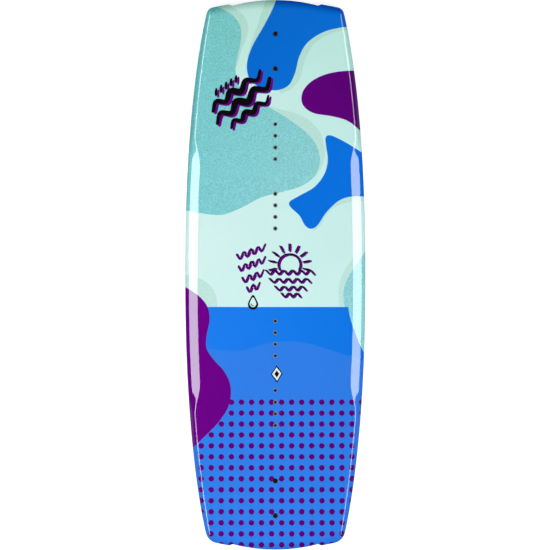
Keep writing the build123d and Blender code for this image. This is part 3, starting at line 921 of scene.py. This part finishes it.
def moulded_material(name, low, high, rough_low, rough_high, depth=0.00003, **values):
    """Moulded plastic or composite with a fine texture."""
    recipe = Recipe(name, **values)
    recipe.tint(recipe.noise(260.0, 4.0), low, high)
    recipe.roughness(recipe.spread(recipe.noise(1100.0), rough_low, rough_high))
    recipe.bump(recipe.noise(1600.0), depth)
    return recipe.material


def metal_material(name, low, high, rough_low, rough_high, metallic, stretch=(1.0, 1.0, 8.0)):
    """Turned metal, with fine marks round it."""
    recipe = Recipe(name, metallic=metallic)
    marks = recipe.noise(900.0, 3.0, stretch)
    recipe.tint(marks, low, high)
    recipe.roughness(recipe.spread(marks, rough_low, rough_high))
    recipe.bump(marks, 0.00001)
    return recipe.material


laminate = laminate_material()
rail_resin = rail_material()
foam = foam_material()
plate_composite = moulded_material("plate_composite", (36, 36, 38), (52, 52, 54), 0.5, 0.65)
sleeve_nylon = moulded_material("sleeve_nylon", (20, 20, 22), (32, 32, 34), 0.45, 0.6)
fin_plastic = moulded_material("fin_plastic", (12, 13, 15), (20, 21, 24), 0.3, 0.45, 0.00001,
                               coat_weight=1.0, coat_roughness=0.05)
insert_metal = metal_material("insert_metal", (120, 126, 128), (142, 148, 150), 0.3, 0.5, 0.6)
# painted shade: the inserts' bores are coloured nearly black for the shade down the holes
bore_shade_metal = metal_material("insert_bore_shade", (10, 10, 11), (22, 22, 24), 0.35, 0.5, 0.4)
brass = metal_material("fin_insert_brass", (176, 142, 84), (206, 172, 108), 0.28, 0.45, 0.8)
steel = metal_material("washer_steel", (150, 150, 152), (188, 188, 190), 0.25, 0.42, 0.8, (1.0, 1.0, 1.0))
screw_finish = metal_material("screw_black", (5, 5, 6), (14, 12, 12), 0.22, 0.34, 0.5)

cad_looks = [("foam_core", foam)]
for kind, material in (("insert_plate", plate_composite), ("fin_sleeves", sleeve_nylon),
                       ("fin_washers", steel), ("fin_inserts", brass)):
    cad_looks += [(kind + "_nose", material), (kind + "_tail", material)]
for node_name, material in cad_looks:
    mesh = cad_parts[node_name].data
    mesh.materials.clear()
    mesh.materials.append(material)


# ---- printed sheets, laminates and rail ----


def surface_of(corners, surface):
    """Heights and normals of a surface at the corners."""
    x, y = corners.T
    return surface(x, y), normals_of(surface, x, y)


def fitted(piece, node_name, body_name="board"):
    """Says what body a piece rides on and what node it replaces."""
    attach(piece, body_name)
    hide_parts(node_name)


def printed_sheet(prefix, drawing, ground, holes, scattered, top, bottom):
    """One closed solid for each ink of a printed sheet."""
    loops = [loop for _, loop in drawing] + holes
    corners, triangles, middles = triangulated(loops, scattered, printed_spacing)
    ink_of = np.full(len(triangles), ground, dtype="U16")
    for name, loop in drawing:
        ink_of[inside(loop, middles)] = name
    for hole in holes:
        ink_of[inside(hole, middles)] = ""
    top, bottom = surface_of(corners, top), surface_of(corners, bottom)
    for name in sorted(set(ink_of) - {""}):
        piece_name = prefix + "_print_" + str(name)
        piece = slab_object(piece_name, corners, triangles[ink_of == name], top, bottom, inks[name])
        fitted(piece, prefix)


fin_frame_y = fin_place + tip_thickness * math.sin(ramp)


def fin_screw_holes(height, radius):
    """Loops of the holes round the four fin screws, at a height above the base ramp."""
    loops = []
    for end in ends:
        for outward in ends:
            y = fin_frame_y - height * math.sin(ramp) + outward * screw_spacing / 2 * math.cos(ramp)
            loops.append(circle(0, end * y, radius, 36, math.cos(ramp)))
    return loops


insert_mouth_radius = 4.8
screw_well_radius = 5.8
base_hole_radius = 5.0
printed_spacing = 11.0  # of a sheet's inner points
plain_spacing = 22.0
insert_mouths = [circle(0, end * y, insert_mouth_radius, 32) for end in ends for y in insert_places]
deck_holes = insert_mouths + fin_screw_holes(tip_thickness, screw_well_radius)
base_holes = fin_screw_holes(channel_depth, base_hole_radius)

laminate_cut = deck_sheet_thickness + laminate_thickness
base_laminate_cut = base_sheet_thickness + laminate_thickness

printed_sheet(
    "deck_sheet", deck_drawing, "mint", deck_holes, deck_rings,
    deck_surface, offset_surface(deck_surface, -deck_sheet_thickness),
)

base_drawing = [
    ("blue_tail", region(
        [(-215, 236), (-160, 262), (-110, 250), (-62, 196), (0, 168), (58, 205), (104, 268), (152, 290),
         (215, 262)], (far, past_tip), (-far, past_tip))),
    ("teal", region(
        [(-215, -262), (-152, -290), (-104, -268), (-58, -205), (0, -168), (62, -196), (110, -250),
         (160, -262), (215, -236)], (far, -past_tip), (-far, -past_tip))),
    ("purple", region(
        [(215, 96), (150, 82), (92, 40), (30, 34), (-36, 58), (-84, 36), (-96, -16), (-52, -58), (18, -52),
         (80, -28), (138, 4), (215, 10)], (far, 10), (far, 96))),
]
base_dot_radius = 5.6
base_dots_from = 368.0
base_dot_rise = 24.0
for row in range(9):
    for column in range(-9, 10):
        x = dot_step[0] * (column + row % 2 / 2)
        y = base_dots_from + base_dot_rise * row
        base_drawing.append(("purple", circle(x, y, base_dot_radius, 20)))

printed_sheet(
    "base_sheet", base_drawing, "mint", base_holes, base_scatter,
    offset_surface(base_surface, base_sheet_thickness), base_surface,
)


def plain_layer(name, holes, scattered, top, bottom, material):
    """One closed solid for an unprinted layer."""
    corners, triangles, middles = triangulated(holes, scattered, plain_spacing)
    for hole in holes:
        keep = ~inside(hole, middles)
        triangles, middles = triangles[keep], middles[keep]
    top, bottom = surface_of(corners, top), surface_of(corners, bottom)
    piece = slab_object(name + "_layer", corners, triangles, top, bottom, material)
    fitted(piece, name)


plain_layer(
    "deck_laminate",
    insert_mouths + fin_screw_holes(tip_thickness - deck_sheet_thickness, screw_well_radius),
    under_deck_rings, offset_surface(deck_surface, -deck_sheet_thickness),
    offset_surface(deck_surface, -laminate_cut), laminate,
)
plain_layer(
    "base_laminate", base_holes, base_scatter, offset_surface(base_surface, base_laminate_cut),
    offset_surface(base_surface, base_sheet_thickness), laminate,
)
plain_layer(
    "perimeter_rail", [core_outline], np.vstack([base_scatter, under_deck_rings]),
    offset_surface(deck_surface, -laminate_cut), offset_surface(base_surface, base_laminate_cut),
    rail_resin,
)


# ---- lofted pieces: inserts, screws and fins ----


def lofted(rows):
    """Vertices and faces of a closed solid lofted through rows of points, with a cap on each end."""
    rows = np.array(rows, float)
    count, around = rows.shape[:2]
    vertices = np.vstack([rows.reshape(-1, 3), rows[0].mean(0), rows[-1].mean(0)])
    faces = row_walls(count, around)
    first, last = count * around, count * around + 1
    for (i, j), (m, n) in zip(round_pairs(around), round_pairs(around, (count - 1) * around)):
        faces += [(j, i, first), (m, n, last)]
    return vertices, faces


def placed(solid, origin, z_axis=(0, 0, 1)):
    """A lofted solid stood on a point, its Z along z_axis and its X kept."""
    z = np.array(z_axis, float)
    x = np.array([1.0, 0, 0])
    turn = np.column_stack([x, np.cross(z, x), z])
    return solid[0] @ turn.T + np.array(origin), solid[1]


def solid_object(name, solids, material, sharp=35.0, second=None, second_from=0):
    """One object from several closed solids, in millimetres, smooth but for its sharp edges.

    A second material, if given, covers each solid's faces from second_from on."""
    vertices, faces, slots = [], [], []
    for points, its_faces in solids:
        start = len(vertices)
        vertices += (np.asarray(points) * MM).tolist()
        faces += [tuple(start + v for v in face) for face in its_faces]
        slots += [int(second is not None and k >= second_from) for k in range(len(its_faces))]
    mesh = bpy.data.meshes.new(name)
    mesh.from_pydata(vertices, [], faces)
    mesh.polygons.foreach_set("use_smooth", np.ones(len(faces), bool))
    mesh.set_sharp_from_angle(angle=math.radians(sharp))
    mesh.materials.append(material)
    if second is not None:
        mesh.materials.append(second)
        mesh.polygons.foreach_set("material_index", slots)
    return new_object(name, mesh)


around = 36
turns = np.arange(around) * 2 * math.pi / around
thread_pitch = 1.0


def ring(radius, z):
    """A row of points round the Z axis; the radius is a number or one for each point."""
    radius = np.broadcast_to(radius, around)
    return np.column_stack([radius * np.cos(turns), radius * np.sin(turns), np.full(around, z)])


def thread_rows(crest, root, start, end):
    """Rows along a helical thread, from one height to another."""
    rows = []
    for z in np.linspace(start, end, int(abs(end - start) / thread_pitch * 6) + 1):
        phase = (z / thread_pitch - turns / (2 * math.pi)) % 1
        rise = np.clip(abs(2 * phase - 1) * 1.3 - 0.15, 0, 1)
        rows.append(ring(root + (crest - root) * rise, z))
    return rows


insert_outside = [
    ring(radius, z)
    for radius, z in ((5.6, -12), (6, -11.6), (6, -1.5), (5.8, -1.2), (4.7, -1.2), (4.7, -0.2),
                      (4.5, 0), (3.1, 0), (2.95, -0.15))
]


def binding_insert():
    """Threaded insert, its top at zero."""
    return lofted(insert_outside + thread_rows(2.5, 2.95, -0.4, -10.2) + [ring(2.5, -10.5)])


def hexagon(across_flats):
    """Radius round a hexagon, for each turn."""
    sixth = math.pi / 3
    return across_flats / 2 / np.cos((turns + sixth / 2) % sixth - sixth / 2)


def fin_screw():
    """Low-head socket screw, the underside of its head at zero."""
    rows = [ring(2.2, -16), ring(2.5, -15.6)]
    rows += thread_rows(3.0, 2.5, -15.5, -1.6)
    rows += [ring(2.95, -1.3), ring(2.95, 0), ring(4.85, 0), ring(5, 0.15), ring(5, 3.3)]
    rows += [ring(4.3 + 0.7 * math.cos(a), 3.3 + 0.7 * math.sin(a)) for a in (0.4, 0.8, 1.2, math.pi / 2)]
    rows += [ring(2.75, 4), ring(hexagon(4.3), 3.85), ring(hexagon(4.0), 3.6), ring(hexagon(4.0), 1.6)]
    return lofted(rows)


def ramp_point(end, along, height):
    """Point over the base ramp: along it from the middle of a fin, and square to it."""
    base = float(base_line(fin_frame_y))
    y = fin_frame_y + along * math.cos(ramp) - height * math.sin(ramp)
    z = base + along * math.sin(ramp) + height * math.cos(ramp)
    return (0.0, end * y, z)


def ramp_normal(end):
    return (0.0, -end * math.sin(ramp), math.cos(ramp))


# centre fins: a foot and a foil blade in one moulding, with a boss round each insert

fin_places = 72  # points along each side of a section
fin_half_length = 61.0
foot_half_width = 9.0
foot_thickness = 4.0
fin_depth = 25.0
foot_round = 0.9  # how far the foot's lower edge is rounded
foot_top_round = 0.5
foot_fillet = 3.2  # between the foot and the blade
blade_half_width = 3.5
blade_root_half_length = 57.0
blade_sweep = 23.0  # how much shorter each half of the blade is at the keel, on a curve
blade_taper = 2.5  # and in a straight line
blade_thins = 0.45  # share of its width that the blade has lost at the keel
keel_rounds_from = 0.93  # share of the blade's depth
keel_round = 0.0701  # how much of it the rounding takes, ending a little past the keel
boss_radius = 7.0
boss_depth = 9.5
boss_rounds_from = 7.5
insert_radius = 4.5
fin_insert_depth = 11.0
fin_top = channel_depth - 0.05


def slot_half_width(u, end, widest):
    """Half width at u along a round-ended slot that reaches from -end to end."""
    past = np.maximum(np.abs(u) - (end - widest), 0)
    return np.sqrt(np.maximum(widest**2 - past**2, 0))


def blade_half_length(depth):
    """Half length of the blade at a depth under the fin's top."""
    share = np.clip((depth - foot_thickness) / (fin_depth - foot_thickness), 0, 1)
    return blade_root_half_length - blade_sweep * share**2.1 - blade_taper * share


def fin_section(depth):
    """Half length and half widths of the fin at a depth, for places from one end to the other."""
    along = -np.cos(np.linspace(0, math.pi, fin_places))
    into = (depth - foot_thickness) / foot_fillet
    if depth <= foot_thickness:
        edge = foot_top_round * max(0.0, 1 - depth / foot_top_round) ** 2
        edge += foot_round * max(0.0, (depth - (foot_thickness - foot_round)) / foot_round) ** 2
        reach = fin_half_length - edge
        return reach * along, slot_half_width(reach * along, reach, foot_half_width - edge)
    blend = 1.0 if into >= 1 else math.sqrt(1 - (1 - into) ** 2)
    reach = (fin_half_length - foot_round) * (1 - blend) + float(blade_half_length(depth)) * blend
    u = reach * along
    share = (depth - foot_thickness) / (fin_depth - foot_thickness)
    foil = blade_half_width * (1 - blade_thins * share**1.6) * (1 - along**2) ** 0.62
    foil *= math.sqrt(max(0.0, 1 - max(0.0, (share - keel_rounds_from) / keel_round) ** 2))
    half = slot_half_width(u, reach, foot_half_width - foot_round) * (1 - blend) + foil * blend
    boss = 0 * u
    rounding = max(0.0, (depth - boss_rounds_from) / (boss_depth - boss_rounds_from))
    fade = math.sqrt(max(0.0, 1 - rounding**2))
    for centre in (-screw_spacing / 2, screw_spacing / 2):
        boss = np.maximum(boss, np.sqrt(np.maximum(boss_radius**2 - (u - centre) ** 2, 0)) * fade)
    smooth = 1.2
    joined = (half + boss + np.sqrt((half - boss) ** 2 + smooth**2) - smooth) / 2
    return u, np.where(boss > 0, np.maximum(joined, half), half)


def fin_rows():
    """Sections of the fin from under its top to its keel, as loops in the fin's own frame."""
    depths = [0.0, 0.2, 0.5, 2.0, 3.1, 3.5, 3.8, 4.0, 4.1, 4.4, 4.9, 5.6, 6.4, 7.2]
    depths += list(np.arange(7.8, boss_depth, 0.35)) + [boss_depth, 9.9]
    depths += list(np.linspace(11, 23.4, 14)) + [23.9, 24.3, 24.6, 24.8, 24.93, fin_depth]
    rows = []
    for depth in depths:
        u, half = fin_section(depth)
        up = np.column_stack([-half, u])
        down = np.column_stack([half, u])[::-1]
        loop = np.vstack([up, down[1:-1]])
        rows.append(np.column_stack([loop, np.full(len(loop), -depth)]))
    return rows


def fin_moulding():
    """Vertices and faces of a fin: its lofted outside, and its top with two blind holes."""
    rows = np.array(fin_rows())
    count, loop_size = rows.shape[:2]
    vertices = [tuple(p) for p in rows.reshape(-1, 3)]
    faces = [(j, i, m, n) for i, j, n, m in row_walls(count, loop_size)]
    keel = len(vertices)
    vertices.append((0, 0, -fin_depth))
    faces += [(j, i, keel) for i, j in round_pairs(loop_size, (count - 1) * loop_size)]
    rim = rows[0][:, :2]
    mouths = [circle(0, side * screw_spacing / 2, insert_radius, 32) for side in ends]
    loops = [rim] + mouths
    points = [Vector(p) for loop in loops for p in loop]
    flat, _, caps, *_ = delaunay_2d_cdt(points, loop_sides(loops), [], 0, 1e-5, False)
    flat = np.array([tuple(p) for p in flat])
    for face in caps:
        middle = flat[list(face)].mean(0)[None]
        if inside(rim, middle)[0] and not any(inside(mouth, middle)[0] for mouth in mouths):
            a, b, c = flat[list(face)]
            turn = (b[0] - a[0]) * (c[1] - a[1]) - (b[1] - a[1]) * (c[0] - a[0])
            order = face if turn > 0 else face[::-1]
            faces.append(tuple(v if v < loop_size else keel + 1 + v - loop_size for v in order))
    for mouth in mouths:
        vertices += [(x, y, 0.0) for x, y in mouth]
    for index, mouth in enumerate(mouths):
        top = keel + 1 + index * len(mouth)
        foot = len(vertices)
        vertices += [(x, y, -fin_insert_depth) for x, y in mouth]
        centre = len(vertices)
        vertices.append((0.0, float(mouth[:, 1].mean()), -fin_insert_depth))
        for (i, j), (m, n) in zip(round_pairs(len(mouth), top), round_pairs(len(mouth), foot)):
            faces += [(j, i, m, n), (n, m, centre)]
    return np.array(vertices), faces


# side fins: low ridges moulded on the base sheet

side_fin_offset = 128.0
side_fin_place = 452.0
side_fin_length = 92.0
side_fin_depth = 9.0
side_fin_half_width = 3.5
side_fin_flare = 1.6  # how much wider each side of its root is


def side_fin():
    """Ridge that hangs from the base, its length along Y, in the frame of the base ramp."""
    rows = []
    half_turn = np.linspace(0, math.pi, 13)
    for t in np.linspace(-0.995, 0.995, 41):
        swell = math.sqrt(1 - t * t)
        deep = side_fin_depth * swell**1.15
        wide = side_fin_half_width * swell**0.6
        across = np.cos(half_turn)
        x = wide * np.sign(across) * np.abs(across) ** 0.7
        z = -deep * np.sin(half_turn) ** 0.75
        root = base_sheet_thickness / 2
        flare = wide + side_fin_flare * swell
        left, right = [(-flare, root), (-flare, 0.0), (-wide - 0.5 * swell, -0.35 * swell)], [
            (wide + 0.5 * swell, -0.35 * swell), (flare, 0.0), (flare, root)]
        section = right[::-1] + list(zip(x, z))[1:-1] + left[::-1]
        rows.append([(u, t * side_fin_length / 2, w) for u, w in section])
    return lofted(rows)


insert_heights = [float(deck_line(y)) - insert_sink for y in insert_places]
under_head = 10.2  # height of the screw heads' undersides over the base ramp

for end, end_name in ((1, "nose"), (-1, "tail")):
    insert = binding_insert()
    solids = [placed(insert, (0, end * y, z)) for y, z in zip(insert_places, insert_heights)]
    piece = solid_object(
        "threaded_inserts_" + end_name, solids, insert_metal,
        second=bore_shade_metal, second_from=(len(insert_outside) - 1) * around,
    )
    fitted(piece, "binding_inserts_" + end_name)
    fin = placed(fin_moulding(), ramp_point(end, 0, fin_top), ramp_normal(end))
    piece = solid_object("moulded_fin_" + end_name, [fin], fin_plastic, 40.0)
    fitted(piece, "fin_" + end_name, end_name + "_fin")
    for side, side_name in ((1, "right"), (-1, "left")):
        x, y, z = ramp_point(end, (side_fin_place - fin_place) / math.cos(ramp), 0)
        ridge = placed(side_fin(), (side * side_fin_offset, y, z), ramp_normal(end))
        name = "side_fin_" + end_name + "_" + side_name
        fitted(solid_object(name, [ridge], inks["blue_tail"], 50.0), "base_sheet")
    for outward, place_name in ((1, "outer"), (-1, "inner")):
        seat = ramp_point(end, outward * screw_spacing / 2, under_head)
        solid = placed(fin_screw(), seat, ramp_normal(end))
        name = end_name + "_" + place_name
        piece = solid_object("socket_screw_" + name, [solid], screw_finish)
        fitted(piece, "fin_screw_" + name, name + "_screw")


# ---- camera, lights and floor ----

camera_height = 8.0
camera_place = (-0.0007, -0.0004)  # X and Y of the camera, almost over the board's middle
frame_width = 1.207  # what the picture shows across, at the height of the deck
deck_height = middle_thickness * MM

camera_data = bpy.data.cameras.new("camera")
camera_data.sensor_width = 36.0
camera_data.lens = camera_data.sensor_width * camera_height / frame_width
camera_data.clip_end = 100.0
camera = new_object("camera", camera_data)
camera.location = (*camera_place, camera_height + deck_height)
bpy.context.scene.camera = camera
bpy.context.scene.view_settings.view_transform = "Standard"


def area_light(name, location, tilt, width, length, watts):
    """Rectangular lamp, its length along Y, tilted about Y from shining straight down."""
    data = bpy.data.lights.new(name, "AREA")
    data.shape = "RECTANGLE"
    data.size = width
    data.size_y = length
    data.energy = watts
    lamp = new_object(name, data)
    lamp.location = location
    lamp.rotation_euler = (0, tilt, 0)
    lamp.visible_camera = False
    return lamp


strip_angle = math.radians(29.3)
strip_height = 3.0
strip_width = 1.0
strip_length = 2.2
strip_aim = 0.185  # X of the place on each bevel that its strip points at
strip_reach = strip_aim + strip_height * math.tan(strip_angle)
for side, side_name, power in ((1, "right", 66), (-1, "left", 78)):
    place = (side * strip_reach, 0, strip_height)
    strip = area_light("strip_" + side_name, place, side * strip_angle, strip_width, strip_length, power)
    strip.visible_diffuse = False
overhead = area_light("overhead", (0, -0.9, 4.0), 0, 3.0, 3.0, 191)
overhead.visible_glossy = False

world = bpy.data.worlds.new("studio")
bpy.context.scene.world = world
world.use_nodes = True
sky = world.node_tree
direction = sky.nodes.new("ShaderNodeTexCoord")
height = sky.nodes.new("ShaderNodeSeparateXYZ")
fade = sky.nodes.new("ShaderNodeMapRange")  # bright at the horizon, nearly dark overhead
set_inputs(fade, {"from_min": 0.12, "from_max": 0.3, "to_min": 0.62, "to_max": 0.015})
sky.links.new(direction.outputs["Generated"], height.inputs["Vector"])
sky.links.new(height.outputs["Z"], fade.inputs["Value"])
sky.links.new(fade.outputs["Result"], sky.nodes["Background"].inputs["Strength"])
sky.nodes["Background"].inputs["Color"].default_value = (1, 1, 1, 1)

floor_size = 6.0
floor_z = -0.0008
floor_mesh = bpy.data.meshes.new("floor")
floor_mesh.from_pydata(
    [(x * floor_size, y * floor_size, floor_z) for x, y in ((-1, -1), (1, -1), (1, 1), (-1, 1))],
    [], [(0, 1, 2, 3)],
)
floor_paint = Recipe("floor_paint", roughness=0.7, emission_color=(1, 1, 1, 1), emission_strength=0.82)
floor_paint.tint(floor_paint.noise(4.0), (172, 172, 172), (178, 178, 178))
floor_mesh.materials.append(floor_paint.material)
floor = new_object("floor", floor_mesh)
